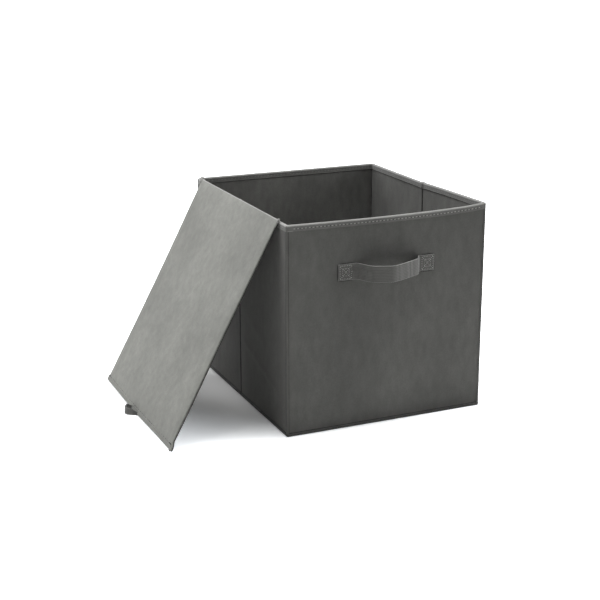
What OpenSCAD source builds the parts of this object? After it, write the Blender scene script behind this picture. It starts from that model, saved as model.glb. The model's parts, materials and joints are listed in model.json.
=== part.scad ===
// Folding fabric storage bin with a removable base board leaning on its left rim.
// Millimetres. The origin is the middle of the bin's footprint on the floor, +X runs to the right
// along the front wall, the front wall faces -Y and +Z is up.

/* [Bin] */
// Width of the front and back walls, outside
bin_w = 330; // [250:1:420]
// Depth of the side walls, outside
bin_d = 381; // [300:1:460]
// Height of the bin from the floor to the top of the rim
bin_h = 325; // [240:1:400]

/* [Walls] */
// Thickness of the outer cloth
cloth_t = 0.8; // [0.5:0.1:1.5]
// Thickness of the card that stiffens each wall
card_t = 2.4; // [1.6:0.1:4]
// Thickness of the lining cloth
lining_t = 0.8; // [0.4:0.1:1.5]
// Cloth margin sewn flat around each card
seam_w = 2; // [1:0.5:4]
// Gap between the two half walls at a side wall's crease
crease_gap = 1.5; // [1:0.1:4]
// Gap between two walls, or a wall and the bottom, that move past each other
part_gap = 0.3; // [0.3:0.1:0.8]

/* [Rim and base seams] */
// Thickness of the binding folded over the rim
rim_t = 0.8; // [0.5:0.1:1.2]
// Height of the binding folded over the rim
rim_h = 9.4; // [6:0.1:20]
// Thickness of the tape over the base seam
tape_t = 1; // [0.5:0.1:1.5]
// Height of the tape over the base seam
tape_h = 3.8; // [2:0.1:8]
// Thickness of the bottom cloth
bottom_t = 1; // [0.6:0.1:2]
// How far a corner welt stands out
welt_t = 0.8; // [0.4:0.1:1.2]
// Width of a corner welt on the front or back wall
welt_w = 3.5; // [2:0.1:8]

/* [Handles] */
// Width of the handle webbing
strap_w = 25; // [18:1:40]
// Thickness of the handle webbing
strap_t = 1.8; // [1:0.1:3]
// Length of each sewn handle end
strap_end = 24; // [16:1:40]
// Span of the free arch between the sewn ends
strap_span = 110; // [80:1:150]
// How far the free arch stands out from the wall
strap_bulge = 35; // [20:1:50]
// Drop from the rim to the middle of the webbing
handle_drop = 79; // [40:1:140]
// Sideways shift of the handles from the middle of the wall
handle_shift = -3; // [-30:1:30]

/* [Handle stitching] */
// Length of one stitch
stitch_l = 2.2; // [1:0.1:3]
// Distance from one stitch to the next
stitch_pitch = 3; // [2.5:0.1:6]
// Thickness of the thread
thread_t = 0.6; // [0.3:0.1:1]
// How far the thread stands out of the webbing
thread_rise = 0.3; // [0.1:0.1:0.6]
// Distance from the edge of the webbing to the stitching
stitch_inset = 3; // [1.5:0.1:6]

/* [Base board] */
// Gap between the base board and the walls when it lies in the bin
insert_gap = 1; // [0.5:0.1:4]
// Thickness of the card in the base board
insert_card_t = 2.5; // [1.5:0.1:5]
// Thickness of the cloth on each face of the base board
insert_cloth_t = 0.8; // [0.5:0.1:1.5]
// Cloth margin around the card in the base board
insert_seam_w = 3; // [1:0.5:8]
// Width of the hem along the base board's lower end
hem_w = 8; // [4:0.5:20]
// Thickness of the hem tape
hem_t = 0.4; // [0.2:0.1:1]

/* [Leaning] */
// Slope of the leaning base board, from the floor
lean_angle = 61.8; // [56:0.1:72]
// Shift of the leaning base board along the side wall
lean_shift = -5; // [-25:1:25]
// Gap between the leaning base board and the rim
rest_gap = 0.4; // [0.3:0.1:2]

/* [Pull loop] */
// Width of the pull loop's ribbon
loop_w = 11; // [6:1:20]
// Thickness of the pull loop's ribbon
loop_t = 1.2; // [0.6:0.1:2]
// Distance between the ends of the pull loop
loop_span = 44; // [30:1:70]
// How far the pull loop stands out from the base board
loop_bulge = 17; // [10:1:21]
// Shift of the pull loop from the middle of the base board's lower end
loop_shift = 11; // [-60:1:60]
// Height of the ribbon's lower edge above the floor
loop_lift = 0.6; // [0.3:0.1:3]

/* [Hidden] */

$fn = 96;
// Overrun of a cut past the face it opens
cut = 1;

// Cloth, lining, tape, card and webbing colours
cloth_colour = [0.31, 0.31, 0.29];
lining_colour = [0.27, 0.27, 0.25];
binding_colour = [0.36, 0.36, 0.34];
tape_colour = [0.16, 0.16, 0.15];
card_colour = [0.62, 0.53, 0.4];
webbing_colour = [0.35, 0.35, 0.33];
thread_colour = [0.5, 0.5, 0.48];
board_colour = [0.44, 0.45, 0.42];

// A wall is outer cloth, card and lining. Its binding adds a half-round edge on top.
pocket_t = cloth_t + card_t;
wall_t = pocket_t + lining_t;
rim_r = wall_t / 2 + rim_t;
wall_top = bin_h - rim_r;
// The back wall is sewn to the bottom cloth, and the walls that fold pass just over it.
sewn_foot = bottom_t;
free_foot = bottom_t + part_gap;

// The front and back walls run the full width, and the side walls stop between their bindings.
full_end = bin_w / 2;
side_end = bin_d / 2 - wall_t - rim_t - part_gap;
crease_end = crease_gap / 2;

// The handle's free arch is a round arc, cut just clear of the wall.
handle_z = bin_h - handle_drop;
arch_r = (pow(strap_span / 2, 2) + pow(strap_bulge, 2)) / (2 * strap_bulge);
arch_centre = arch_r - strap_bulge;
arch_foot = sqrt(pow(arch_r + strap_t / 2, 2) - pow(arch_centre + part_gap, 2));
end_start = arch_foot + part_gap;
end_mid = end_start + strap_end / 2;

// The base board fits between the walls, and leans with its long side up the slope.
insert_l = bin_d - 2 * wall_t - 2 * insert_gap;
insert_w = bin_w - 2 * wall_t - 2 * insert_gap;
insert_pocket_t = insert_cloth_t + insert_card_t;
insert_t = insert_pocket_t + insert_cloth_t;
insert_face = insert_t + hem_t;
// It lies over the rim where it is long enough, and against the wall where it isn't.
over_rim_x = -(bin_w - wall_t) / 2 - (rim_r + rest_gap + wall_top * cos(lean_angle)) / sin(lean_angle);
on_wall_x = -bin_w / 2 - rim_t - rest_gap - insert_l * cos(lean_angle);
foot_x = insert_l * sin(lean_angle) > bin_h ? over_rim_x : on_wall_x;

// The pull loop is a round arc of ribbon standing on its edge at the board's lower end.
loop_x = foot_x - insert_face * sin(lean_angle) - part_gap;
loop_y = lean_shift + loop_shift;
loop_r = (pow(loop_span / 2, 2) + pow(loop_bulge, 2)) / (2 * loop_bulge);

// Each wall is drawn with X along it, Y inward from its outer face and Z up.
module on_front() {
    translate([0, -bin_d / 2, 0]) children();
}

module on_back() {
    mirror([0, 1, 0]) on_front() children();
}

module on_left() {
    translate([-bin_w / 2, 0, 0]) mirror([1, -1, 0]) children();
}

module on_right() {
    mirror([1, 0, 0]) on_left() children();
}

// The leaning base board is drawn with X up the slope and Z out of its upper face.
module on_lean() {
    translate([foot_x, lean_shift, 0]) rotate([0, -lean_angle, 0]) children();
}

// A box from one corner to another
module block(low, high) {
    translate(low) cube(high - low);
}

// Outer cloth from start to end along a wall that stands at foot, with its pocket for the card
module outer_cloth(start, end, foot = free_foot) {
    color(cloth_colour) difference() {
        block([start, 0, foot], [end, pocket_t, wall_top]);
        block(
            [start + seam_w, cloth_t, foot + seam_w],
            [end - seam_w, pocket_t + cut, wall_top - seam_w]
        );
    }
}

// Card in the pocket of the outer cloth
module card(start, end, foot = free_foot) {
    color(card_colour) block(
        [start + seam_w, cloth_t, foot + seam_w],
        [end - seam_w, pocket_t, wall_top - seam_w]
    );
}

// Lining over the card, on the inner face of a wall
module lining(start, end, foot = free_foot) {
    color(lining_colour) block([start, pocket_t, foot], [end, wall_t, wall_top]);
}

// Binding over the rim from start to end, with a leg on each face and a half-round top
module rim_binding(start, end) {
    leg_foot = bin_h - rim_h;
    leg_h = wall_top - leg_foot;
    color(binding_colour) translate([start, 0, 0]) rotate([90, 0, 90]) linear_extrude(end - start)
        union() {
            translate([-rim_t, leg_foot]) square([rim_t, leg_h]);
            translate([wall_t, leg_foot]) square([rim_t, leg_h]);
            intersection() {
                translate([wall_t / 2, wall_top]) circle(rim_r);
                translate([-rim_t, wall_top]) square([2 * rim_r, rim_r]);
            }
        }
}

// Tape over the base seam of a side wall
module side_base_tape(start, end) {
    color(tape_colour) block([start, -tape_t, free_foot], [end, 0, free_foot + tape_h]);
}

// Tape over the base seam of the front or back wall, turned round both of its ends
module full_base_tape(foot = free_foot) {
    reach = full_end + tape_t;
    color(tape_colour) difference() {
        block([-reach, -tape_t, foot], [reach, wall_t, foot + tape_h]);
        block([-full_end, 0, foot - cut], [full_end, wall_t + cut, foot + tape_h + cut]);
    }
}

// Welt on the corner at the low end of the front or back wall, from the base tape to the rim
module welt(foot = free_foot) {
    low = foot + tape_h;
    high = bin_h - rim_h;
    color(binding_colour) difference() {
        block([-full_end - welt_t, -welt_t, low], [-full_end + welt_w, wall_t, high]);
        block([-full_end, 0, low - cut], [-full_end + welt_w + cut, wall_t + cut, high + cut]);
    }
}

// Both sewn ends of a handle
module handle_ends() {
    color(webbing_colour) for (side = [-1, 1])
        translate([handle_shift + side * end_mid, -strap_t / 2, handle_z])
            cube([strap_end, strap_t, strap_w], center = true);
}

// A row of stitches of about the given length, centred on the origin and along X
module stitch_row(length) {
    count = max(2, floor((length - stitch_l) / stitch_pitch) + 1);
    step = (length - stitch_l) / (count - 1);
    for (i = [0:count - 1])
        translate([(i - (count - 1) / 2) * step, 0, 0])
            cube([stitch_l, thread_rise, thread_t], center = true);
}

// A box of stitches with a cross in it, on each sewn end of a handle
module handle_stitching() {
    box_l = strap_end - 2 * stitch_inset;
    box_w = strap_w - 2 * stitch_inset;
    cross_l = sqrt(box_l * box_l + box_w * box_w) - 2 * stitch_pitch;
    color(thread_colour) for (side = [-1, 1])
        translate([handle_shift + side * end_mid, -strap_t - thread_rise / 2, handle_z]) {
            for (edge = [-1, 1]) {
                translate([0, 0, edge * box_w / 2]) stitch_row(box_l);
                translate([edge * box_l / 2, 0, 0]) rotate([0, 90, 0]) stitch_row(box_w - stitch_pitch);
                rotate([0, edge * atan2(box_w, box_l), 0]) stitch_row(cross_l);
            }
        }
}

// The free arch of a handle
module handle_strap() {
    color(webbing_colour) translate([handle_shift, arch_centre, handle_z - strap_w / 2])
        linear_extrude(strap_w) difference() {
            circle(arch_r + strap_t / 2);
            circle(arch_r - strap_t / 2);
            translate([-arch_r - strap_t, -arch_centre - part_gap])
                square([2 * (arch_r + strap_t), 2 * arch_r + strap_t]);
        }
}

// One sheet under the whole bin
module bottom_cloth() {
    color(lining_colour) block([-bin_w / 2, -bin_d / 2, 0], [bin_w / 2, bin_d / 2, bottom_t]);
}

// Card inside the base board
module base_board_card() {
    color(card_colour) on_lean() block(
        [hem_w, -insert_w / 2 + insert_seam_w, insert_cloth_t],
        [insert_l - insert_seam_w, insert_w / 2 - insert_seam_w, insert_pocket_t]
    );
}

// Upper cloth of the base board, with the pocket for its card
module base_board_outer_cloth() {
    color(board_colour) on_lean() difference() {
        block([hem_t, -insert_w / 2, insert_cloth_t], [insert_l, insert_w / 2, insert_t]);
        block(
            [hem_w, -insert_w / 2 + insert_seam_w, insert_cloth_t - cut],
            [insert_l - insert_seam_w, insert_w / 2 - insert_seam_w, insert_pocket_t]
        );
    }
}

// Lower cloth of the base board
module base_board_inner_cloth() {
    color(board_colour) on_lean()
        block([hem_t, -insert_w / 2, 0], [insert_l, insert_w / 2, insert_cloth_t]);
}

// Hem tape over the lower end of the base board
module base_board_hem() {
    color(board_colour) on_lean() difference() {
        block([0, -insert_w / 2, 0], [hem_w, insert_w / 2, insert_face]);
        block([hem_t, -insert_w / 2 - cut, -cut], [hem_w + cut, insert_w / 2 + cut, insert_t]);
    }
}

// Ribbon loop that lifts the base board
module pull_loop() {
    color(webbing_colour) translate([loop_x + loop_r - loop_bulge, loop_y, loop_lift])
        linear_extrude(loop_w) difference() {
            circle(loop_r);
            circle(loop_r - loop_t);
            translate([loop_bulge - loop_r, -loop_r - cut]) square([2 * loop_r, 2 * (loop_r + cut)]);
        }
}

bottom_cloth();

on_back() outer_cloth(-full_end, full_end, sewn_foot);  // back_outer_cloth
on_back() card(-full_end, full_end, sewn_foot);  // back_card
on_back() lining(-full_end, full_end, sewn_foot);  // back_lining
on_back() rim_binding(-full_end - rim_t, full_end + rim_t);  // back_rim_binding
on_back() full_base_tape(sewn_foot);  // back_base_tape

on_left() outer_cloth(crease_end, side_end);  // left_rear_outer_cloth
on_left() card(crease_end, side_end);  // left_rear_card
on_left() lining(crease_end, side_end);  // left_rear_lining
on_left() rim_binding(crease_end, side_end);  // left_rear_rim_binding
on_left() side_base_tape(crease_end, side_end);  // left_rear_base_tape

on_left() outer_cloth(-side_end, -crease_end);  // left_front_outer_cloth
on_left() card(-side_end, -crease_end);  // left_front_card
on_left() lining(-side_end, -crease_end);  // left_front_lining
on_left() rim_binding(-side_end, -crease_end);  // left_front_rim_binding
on_left() side_base_tape(-side_end, -crease_end);  // left_front_base_tape

on_front() outer_cloth(-full_end, full_end);  // front_outer_cloth
on_front() card(-full_end, full_end);  // front_card
on_front() lining(-full_end, full_end);  // front_lining
on_front() rim_binding(-full_end - rim_t, full_end + rim_t);  // front_rim_binding
on_front() full_base_tape();  // front_base_tape

on_right() outer_cloth(crease_end, side_end);  // right_rear_outer_cloth
on_right() card(crease_end, side_end);  // right_rear_card
on_right() lining(crease_end, side_end);  // right_rear_lining
on_right() rim_binding(crease_end, side_end);  // right_rear_rim_binding
on_right() side_base_tape(crease_end, side_end);  // right_rear_base_tape

on_right() outer_cloth(-side_end, -crease_end);  // right_front_outer_cloth
on_right() card(-side_end, -crease_end);  // right_front_card
on_right() lining(-side_end, -crease_end);  // right_front_lining
on_right() rim_binding(-side_end, -crease_end);  // right_front_rim_binding
on_right() side_base_tape(-side_end, -crease_end);  // right_front_base_tape

on_back() welt(sewn_foot);  // back_left_welt
mirror([1, 0, 0]) on_back() welt(sewn_foot);  // back_right_welt
on_front() welt();  // front_left_welt
mirror([1, 0, 0]) on_front() welt();  // front_right_welt

on_front() handle_ends();  // front_handle_ends
on_front() handle_stitching();  // front_handle_stitching
on_front() handle_strap();  // front_handle_strap
on_back() handle_ends();  // rear_handle_ends
on_back() handle_stitching();  // rear_handle_stitching
on_back() handle_strap();  // rear_handle_strap

base_board_card();
base_board_outer_cloth();
base_board_inner_cloth();
base_board_hem();
pull_loop();
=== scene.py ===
import json
import math

import bmesh
import bpy
from mathutils import Matrix, Vector, noise


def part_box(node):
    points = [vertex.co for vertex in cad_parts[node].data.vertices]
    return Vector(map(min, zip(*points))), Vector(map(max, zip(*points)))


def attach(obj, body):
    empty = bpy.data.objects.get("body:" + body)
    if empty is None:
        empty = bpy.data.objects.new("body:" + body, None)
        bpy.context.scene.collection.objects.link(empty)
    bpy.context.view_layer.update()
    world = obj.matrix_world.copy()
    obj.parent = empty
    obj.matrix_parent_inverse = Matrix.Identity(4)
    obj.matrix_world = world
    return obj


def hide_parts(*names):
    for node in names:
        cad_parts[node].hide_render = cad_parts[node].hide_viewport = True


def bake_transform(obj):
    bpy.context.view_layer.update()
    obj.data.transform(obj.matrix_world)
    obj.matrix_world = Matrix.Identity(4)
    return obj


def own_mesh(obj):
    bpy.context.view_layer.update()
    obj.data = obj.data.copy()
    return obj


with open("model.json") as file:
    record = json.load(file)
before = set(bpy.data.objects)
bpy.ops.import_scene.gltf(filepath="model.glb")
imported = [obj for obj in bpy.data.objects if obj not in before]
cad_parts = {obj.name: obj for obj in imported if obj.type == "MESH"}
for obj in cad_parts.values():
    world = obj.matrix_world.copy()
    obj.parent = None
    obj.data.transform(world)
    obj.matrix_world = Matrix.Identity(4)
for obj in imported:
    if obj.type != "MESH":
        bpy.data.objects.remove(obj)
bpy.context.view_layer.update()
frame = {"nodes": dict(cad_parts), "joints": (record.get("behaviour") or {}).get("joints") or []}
mm = 0.001

camera = dict(
    place=(-0.8632, -1.8353, 0.7498),
    right=(0.91605976, -0.40103916, -0.00144479),
    up=(0.11636382, 0.26234895, 0.95793136),
    lens=77.27,
    sensor=36,
)


def addObject(name, data):
    made = bpy.data.objects.new(name, data)
    bpy.context.scene.collection.objects.link(made)
    return made


def makeCamera():
    data = bpy.data.cameras.new("camera")
    data.lens = camera["lens"]
    data.sensor_width = camera["sensor"]
    data.dof.use_dof = False
    eye = addObject("camera", data)
    right = Vector(camera["right"])
    up = Vector(camera["up"])
    turn = Matrix((right, up, right.cross(up))).transposed()
    eye.matrix_world = Matrix.Translation(camera["place"]) @ turn.to_4x4()
    bpy.context.scene.camera = eye
    print("camera made")


# shared measures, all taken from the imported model
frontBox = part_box("front_outer_cloth")
joints = {joint["name"]: joint for joint in frame["joints"]}
halfWidth = frontBox[1].x
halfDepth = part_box("back_outer_cloth")[1].y
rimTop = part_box("front_rim_binding")[1].z
wallTop = frontBox[1].z
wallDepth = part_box("front_lining")[1].y + halfDepth
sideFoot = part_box("left_rear_outer_cloth")[0].z
pivotReach = halfWidth - abs(joints["side_fold"]["pos_m"][0])
cornerReach = 10 * mm

# each wall is worked in its own frame: x along it, y inward from its outer face, z up
wallPlace = {
    "front": Matrix.Translation((0, -halfDepth, 0)),
    "right": Matrix.Translation((halfWidth, 0, 0)) @ Matrix.Rotation(math.radians(90), 4, "Z"),
    "back": Matrix.Translation((0, halfDepth, 0)) @ Matrix.Rotation(math.radians(180), 4, "Z"),
    "left": Matrix.Translation((-halfWidth, 0, 0)) @ Matrix.Rotation(math.radians(270), 4, "Z"),
}
halfLength = {"front": halfWidth, "right": halfDepth, "back": halfWidth, "left": halfDepth}

# how far the pieces of a crease reach from it, and their sections from one side to the middle
crease = dict(
    clothReach=3 * mm,
    liningReach=12 * mm,
    rimReach=5 * mm,
    tapeReach=3 * mm,
    clothSide=[(-3, 0), (-1.8, 0), (-1.4, 0.2), (-1.25, 0.8), (-0.84, 1.615), (0, 1.7)],
    liningSide=[(-12, 0), (-9, 0), (-6, 0.1), (-3, 0.25), (-2, 0.2), (-1.6, -0.1)]
    + [(-1.4, -0.7), (-0.8, -1.5), (0, -1.6)],
    clothDepth=0.4 * mm,
    liningDepth=0.3 * mm,
    clothSlit=(1.4 * mm, 0.3 * mm),
    liningSlit=(1.5 * mm, -0.3 * mm),
    steps=30,
    pinch=(0.8 * mm, 0.5 * mm, 0.3 * mm),
    crumple=(2.2 * mm, 1.2 * mm, 0.9 * mm),
    rimSlit=1.1 * mm,
    tapePinch=(1.2 * mm, 0.6 * mm),
)

# the lengths of wall: CAD nodes' prefix, body, and what each end meets
wallParts = [
    dict(name="front", wall="front", nodes="front", body="front_wall", ends=("corner", "corner")),
    dict(name="rightFront", wall="right", nodes="right_front", body="right_front", ends=("corner", "crease")),
    dict(name="rightRear", wall="right", nodes="right_rear", body="right_rear", ends=("crease", "corner")),
    dict(name="back", wall="back", nodes="back", body="back_wall", ends=("corner", "corner")),
    dict(name="leftRear", wall="left", nodes="left_rear", body="left_rear", ends=("corner", "crease")),
    dict(name="leftFront", wall="left", nodes="left_front", body="left_front", ends=("crease", "corner")),
]

# corners in turn round the bin: the wall before each, and the bodies that meet there
cornerParts = [
    dict(name="frontRight", wall="front", first="front_wall", second="right_front", hinged=False),
    dict(name="backRight", wall="right", first="right_rear", second="back_wall", hinged=True),
    dict(name="backLeft", wall="back", first="back_wall", second="left_rear", hinged=True),
    dict(name="frontLeft", wall="left", first="left_front", second="front_wall", hinged=True),
]


# start and end of a straight stretch of wall, short of its corners and crease
def stretchOf(part, creaseReach):
    half = halfLength[part["wall"]]
    start = -half + cornerReach if part["ends"][0] == "corner" else creaseReach
    end = half - cornerReach if part["ends"][1] == "corner" else -creaseReach
    return start, end


smoothAngle = math.radians(50)


def meshOf(bm, name):
    mesh = bpy.data.meshes.new(name)
    bm.to_mesh(mesh)
    bm.free()
    return mesh


# look and more are keys of looks, and stands lists the CAD nodes that the piece replaces
def addPiece(bm, name, look, body=None, stands=(), more=()):
    mesh = meshOf(bm, name)
    piece = addObject(name, mesh)
    mesh.polygons.foreach_set("use_smooth", [True] * len(mesh.polygons))
    mesh.set_sharp_from_angle(angle=smoothAngle)
    for key in (look, *more):
        mesh.materials.append(looks[key])
    if body:
        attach(piece, body)
    if stands:
        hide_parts(*stands)
    return piece


# gives the faces whose middle passes the test another of the piece's materials
def markFaces(bm, test, look=1):
    for face in bm.faces:
        if test(face.calc_center_median()):
            face.material_index = look


def wire(bm, points):
    corners = [bm.verts.new(point) for point in points]
    for first, second in zip(corners, corners[1:]):
        bm.edges.new((first, second))
    return corners


def grid(bm, size, steps, matrix, **settings):
    bmesh.ops.create_grid(
        bm,
        x_segments=steps[0],
        y_segments=steps[1],
        size=0.5,
        matrix=matrix @ Matrix.Diagonal((*size, 1, 1)),
        **settings,
    )


# pulls everything there is along a straight way
def sweep(bm, travel, steps):
    bmesh.ops.spin(
        bm,
        geom=bm.verts[:] + bm.edges[:],
        cent=(0, 0, 0),
        axis=(0, 0, 1),
        dvec=Vector(travel) / steps,
        angle=0,
        steps=steps,
        use_duplicate=False,
    )


# sweeps a section along a wall from start to end
def runAlong(section, start, end, steps, *foot):
    bm = bmesh.new()
    section(bm, start, *foot)
    sweep(bm, (end - start, 0, 0), steps)
    return bm


def erect(bm, low, high, steps):
    shift(bm, (0, 0, low))
    sweep(bm, (0, 0, high - low), steps)


def turnOut(bm):
    bmesh.ops.recalc_face_normals(bm, faces=bm.faces[:])


# gives an open sheet its thickness, away from the side that outward points to
def thicken(bm, depth, outward):
    turnOut(bm)
    lean = sum((face.normal * face.calc_area() for face in bm.faces), Vector())
    if lean.dot(Vector(outward)) < 0:
        bmesh.ops.reverse_faces(bm, faces=bm.faces[:])
    bmesh.ops.solidify(bm, geom=bm.faces[:], thickness=depth)
    turnOut(bm)


def bevel(bm, geometry, offset, segments, affect="EDGES"):
    bmesh.ops.bevel(
        bm, geom=geometry, offset=offset, segments=segments, affect=affect, profile=0.5, material=-1
    )


def place(bm, matrix):
    bmesh.ops.transform(bm, matrix=matrix, verts=bm.verts[:])


def shift(bm, way):
    bmesh.ops.translate(bm, vec=way, verts=bm.verts[:])


# extrudes edges and returns the new vertices and edges
def extrude(bm, edges):
    made = bmesh.ops.extrude_edge_only(bm, edges=edges)["geom"]
    newVerts = [item for item in made if isinstance(item, bmesh.types.BMVert)]
    return newVerts, [item for item in made if isinstance(item, bmesh.types.BMEdge)]


# rises softly from 0 to 1 over the reach
def fadeIn(distance, reach):
    share = min(1.0, max(0.0, distance / reach))
    return share * share * (3 - 2 * share)


# a bell of height 1 round zero
def bell(distance, reach):
    return math.exp(-((distance / reach) ** 2))


# smooth noise from -1 to 1
def noiseAt(*spot):
    return noise.noise(Vector(spot))


# the same from 0 to 1
def swellAt(*spot):
    return 0.5 + 0.5 * noiseAt(*spot)


# a wave from 0 to 1 that peaks at every pitch
def beatAt(distance, pitch):
    return 0.5 + 0.5 * math.cos(2 * math.pi * distance / pitch)


# how far the rim stands above or below its plain line: high at the front right corner, slack between
standing = dict(
    corner=5.0 * mm,
    frontReach=40 * mm,
    frontPower=0.8,
    sidePower=0.7,
    sag=1.5 * mm,
    fall=120 * mm,
)


def liftAt(wall, x, y=0.0):
    half = halfLength[wall]
    if wall == "right":
        return standing["corner"] * max(0.0, 1 - max(0.0, x + half) / half) ** standing["sidePower"]
    gap = half - x
    if y > gap:
        return standing["corner"] * max(0.0, 1 - y / halfDepth) ** standing["sidePower"]
    sag = standing["sag"] * math.sin(math.pi * min(1.0, max(0.0, gap / (2 * half))))
    reach = (max(0.0, gap) / standing["frontReach"]) ** standing["frontPower"]
    return standing["corner"] * math.exp(-reach) - sag


# lifts the top of a front or right wall piece with the rim there
def liftTop(bm, wall):
    if wall not in ("front", "right"):
        return
    for vert in bm.verts:
        x, y, z = vert.co
        vert.co.z += liftAt(wall, x, y) * fadeIn(z - wallTop + standing["fall"], standing["fall"])


def settle(bm, wall):
    liftTop(bm, wall)
    place(bm, wallPlace[wall])


def newMaterial(name):
    material = bpy.data.materials.new(name)
    material.use_nodes = True
    tree = material.node_tree
    tree.nodes.clear()
    out = tree.nodes.new("ShaderNodeOutputMaterial")
    shader = tree.nodes.new("ShaderNodeBsdfPrincipled")
    tree.links.new(shader.outputs["BSDF"], out.inputs["Surface"])
    return material, tree, shader


def addNode(tree, kind, inputs=None, **settings):
    made = tree.nodes.new(kind)
    for key, value in settings.items():
        setattr(made, key, value)
    for key, value in (inputs or {}).items():
        if isinstance(value, bpy.types.NodeSocket):
            tree.links.new(value, made.inputs[key])
        else:
            made.inputs[key].default_value = value
    return made


def objectSpot(tree, **mapping):
    spot = addNode(tree, "ShaderNodeTexCoord").outputs["Object"]
    return addNode(tree, "ShaderNodeMapping", {"Vector": spot, **mapping}).outputs["Vector"]


def math2(tree, operation, first, second):
    return addNode(tree, "ShaderNodeMath", {0: first, 1: second}, operation=operation).outputs["Value"]


def product(tree, *values):
    result = values[0]
    for value in values[1:]:
        result = math2(tree, "MULTIPLY", result, value)
    return result


def cloudNoise(tree, spot, scale, detail, roughness):
    inputs = {"Vector": spot, "Scale": scale, "Detail": detail, "Roughness": roughness}
    return addNode(tree, "ShaderNodeTexNoise", inputs).outputs["Fac"]


def cells(tree, spot, scale, randomness):
    inputs = {"Vector": spot, "Scale": scale, "Randomness": randomness}
    return addNode(tree, "ShaderNodeTexVoronoi", inputs, feature="F1").outputs["Distance"]


def bands(tree, spot, direction, scale, distortion, detailScale=1.0):
    inputs = {
        "Vector": spot, "Scale": scale, "Distortion": distortion, "Detail": 1.0, "Detail Scale": detailScale
    }
    made = addNode(tree, "ShaderNodeTexWave", inputs, wave_type="BANDS", bands_direction=direction)
    return made.outputs["Fac"]


def mapped(tree, value, target, source=(0.0, 1.0), interpolation="LINEAR"):
    inputs = dict(zip(("Value", "From Min", "From Max", "To Min", "To Max"), (value, *source, *target)))
    return addNode(tree, "ShaderNodeMapRange", inputs, interpolation_type=interpolation).outputs["Result"]


# a tone that varies by a gain on both sides of 1
def toneOf(tree, value, gain, source):
    return mapped(tree, value, (1 - gain, 1 + gain), source)


# colour times tone, a roughness, and a bump of a strength, a depth and a height
def dye(tree, shader, colour, tone, rough, bump):
    tint = addNode(tree, "ShaderNodeVectorMath", {0: colour, "Scale": tone}, operation="SCALE")
    strength, depth, height = bump
    normal = addNode(tree, "ShaderNodeBump", {"Strength": strength, "Distance": depth, "Height": height})
    tree.links.new(tint.outputs["Vector"], shader.inputs["Base Color"])
    tree.links.new(rough, shader.inputs["Roughness"])
    tree.links.new(normal.outputs["Normal"], shader.inputs["Normal"])


def sheenOf(shader, specular, weight, roughness):
    shader.inputs["Specular IOR Level"].default_value = specular
    shader.inputs["Sheen Weight"].default_value = weight
    shader.inputs["Sheen Roughness"].default_value = roughness


nonWoven = dict(
    patch=(9, 2.0, 0.5),
    patchGain=0.16,
    patchRange=(0.28, 0.72),
    cloud=(85, 4.0, 0.6),
    cloudGain=0.13,
    cloudRange=(0.25, 0.75),
    fibre=(420, 5.0, 0.75),
    fibreGain=0.14,
    fibreRange=(0.2, 0.8),
    dimplePitch=1.1 * mm,
    dimpleSpread=0.25,
    pit=(0.12, 0.34),
    pitTone=(0.9, 1.0),
    rough=(0.98, 0.76),
    bump=(0.6, 0.12 * mm),
)


# point-bonded non-woven cloth: dimples, loose fibres and soft patches of tone
def clothMaterial(name, colour, turn=(0, 0, 0), stretch=(1, 1, 0.45), gain=1.0, sheen=0.12):
    material, tree, shader = newMaterial(name)
    spot = objectSpot(tree, Rotation=turn)
    longSpot = objectSpot(tree, Rotation=turn, Scale=stretch)
    patch = cloudNoise(tree, longSpot, *nonWoven["patch"])
    cloud = cloudNoise(tree, longSpot, *nonWoven["cloud"])
    fibre = cloudNoise(tree, spot, *nonWoven["fibre"])
    dimple = cells(tree, spot, 1 / nonWoven["dimplePitch"], nonWoven["dimpleSpread"])
    pit = mapped(tree, dimple, (0.0, 1.0), nonWoven["pit"], "SMOOTHSTEP")
    tone = product(
        tree,
        toneOf(tree, patch, gain * nonWoven["patchGain"], nonWoven["patchRange"]),
        toneOf(tree, cloud, gain * nonWoven["cloudGain"], nonWoven["cloudRange"]),
        toneOf(tree, fibre, nonWoven["fibreGain"], nonWoven["fibreRange"]),
        mapped(tree, pit, nonWoven["pitTone"]),
    )
    relief = math2(tree, "ADD", fibre, pit)
    dye(tree, shader, colour, tone, mapped(tree, fibre, nonWoven["rough"]), (*nonWoven["bump"], relief))
    sheenOf(shader, 0.25, sheen, 0.6)
    return material


# a wave texture's scale is this over the length of one wave
waveUnit = 0.31416
webbing = dict(
    ribPitch=2.3 * mm,
    ribTone=(0.8, 1.1),
    yarnPitch=1.1 * mm,
    yarnTone=(0.96, 1.03),
    fuzz=(700.0, 4.0, 0.7),
    fuzzGain=0.1,
    fuzzRange=(0.25, 0.75),
    rough=(0.55, 0.8),
    bump=(0.7, 0.25 * mm),
)


# woven webbing on its own UV map: ribs run the length of the piece and weft yarns cross them
def webbingMaterial(name, colour, length, width):
    material, tree, shader = newMaterial(name)
    uv = addNode(tree, "ShaderNodeUVMap", uv_map="along").outputs["UV"]
    spot = addNode(tree, "ShaderNodeMapping", {"Vector": uv, "Scale": (length, width, 1)}).outputs["Vector"]
    ribs = bands(tree, spot, "Y", waveUnit / webbing["ribPitch"], 0.4, 2.0)
    yarns = bands(tree, spot, "X", waveUnit / webbing["yarnPitch"], 0.6, 3.0)
    fuzz = cloudNoise(tree, spot, *webbing["fuzz"])
    tone = product(
        tree,
        mapped(tree, ribs, webbing["ribTone"]),
        mapped(tree, yarns, webbing["yarnTone"]),
        toneOf(tree, fuzz, webbing["fuzzGain"], webbing["fuzzRange"]),
    )
    relief = math2(tree, "ADD", ribs, yarns)
    dye(tree, shader, colour, tone, mapped(tree, fuzz, webbing["rough"]), (*webbing["bump"], relief))
    sheenOf(shader, 0.4, 0.3, 0.4)
    return material


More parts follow.
